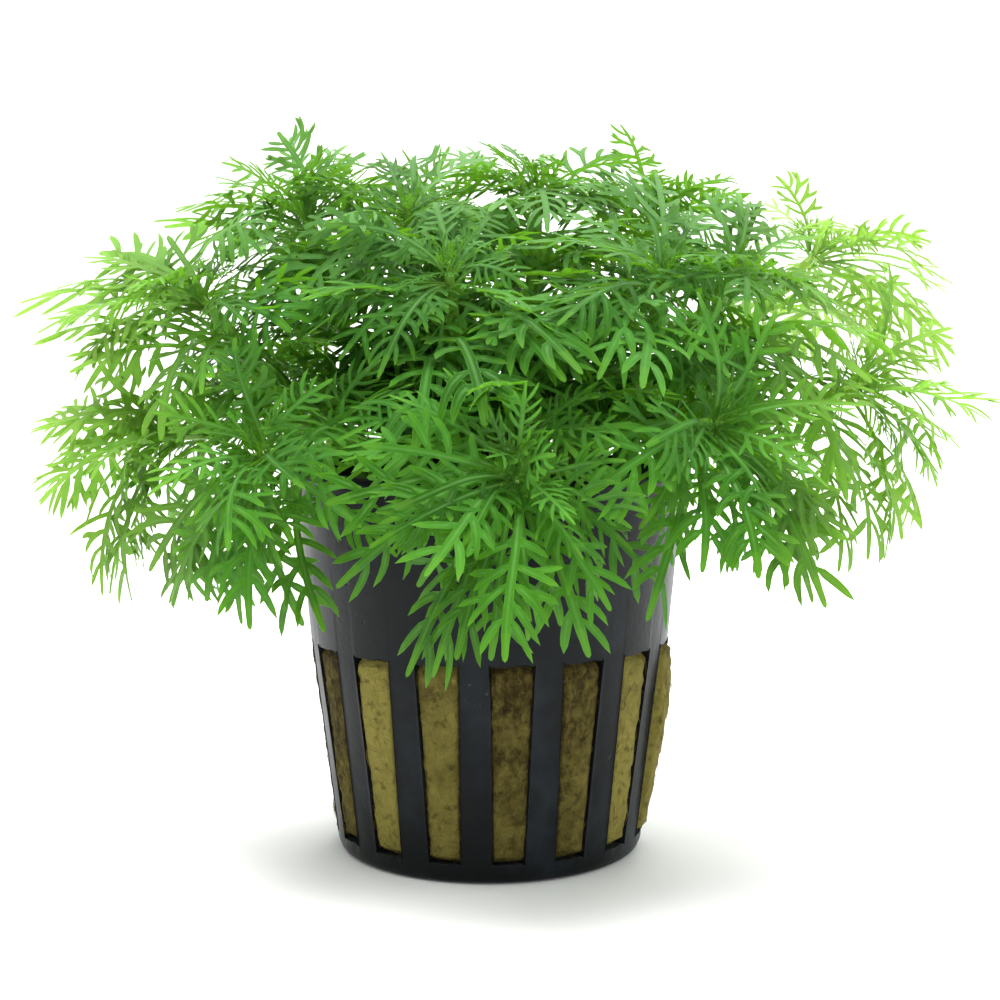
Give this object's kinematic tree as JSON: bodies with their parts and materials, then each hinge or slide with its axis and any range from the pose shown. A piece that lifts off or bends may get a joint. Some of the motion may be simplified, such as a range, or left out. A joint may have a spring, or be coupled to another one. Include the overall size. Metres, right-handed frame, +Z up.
{
  "type": "potted water violet",
  "caption": "Bushy water violet with comb-like feathery leaves on many shoots, planted in rock wool in a round slotted black net pot.",
  "frame": {"origin": "centre of the pot's flat underside, where it rests", "axes": "+Z up along the pot's axis, -Y towards the front of the plant, +X to its right seen from the front"},
  "size_m": [0.1251, 0.0973, 0.0977],
  "materials": {
    "black_plastic": "satin",
    "rock_wool": "matte",
    "stem": "satin",
    "leaf": "satin"
  },
  "bodies": {
    "root": {"pot": "black_plastic", "rock_wool": "rock_wool", "front_high_stem": "stem", "front_high_leaves": "leaf", "front_high_crown": "leaf", "front_low_stem": "stem", "front_low_leaves": "leaf", "front_low_crown": "leaf", "left_front_stem": "stem", "left_front_leaves": "leaf", "left_front_crown": "leaf", "left_low_stem": "stem", "left_low_leaves": "leaf", "left_low_crown": "leaf", "left_high_stem": "stem", "left_high_leaves": "leaf", "left_high_crown": "leaf", "left_back_stem": "stem", "left_back_leaves": "leaf", "left_back_crown": "leaf", "middle_stem": "stem", "middle_leaves": "leaf", "middle_crown": "leaf", "top_stem": "stem", "top_leaves": "leaf", "top_crown": "leaf", "right_high_stem": "stem", "right_high_leaves": "leaf", "right_high_crown": "leaf", "right_inner_stem": "stem", "right_inner_leaves": "leaf", "right_inner_crown": "leaf", "right_front_stem": "stem", "right_front_leaves": "leaf", "right_front_crown": "leaf", "right_low_stem": "stem", "right_low_leaves": "leaf", "right_low_crown": "leaf", "right_back_stem": "stem", "right_back_leaves": "leaf", "right_back_crown": "leaf", "back_low_stem": "stem", "back_low_leaves": "leaf", "back_low_crown": "leaf", "back_left_stem": "stem", "back_left_leaves": "leaf", "back_left_crown": "leaf", "back_right_stem": "stem", "back_right_leaves": "leaf", "back_right_crown": "leaf", "back_high_stem": "stem", "back_high_leaves": "leaf", "back_high_crown": "leaf", "back_right_high_stem": "stem", "back_right_high_leaves": "leaf", "back_right_high_crown": "leaf"}
  },
  "joints": []
}
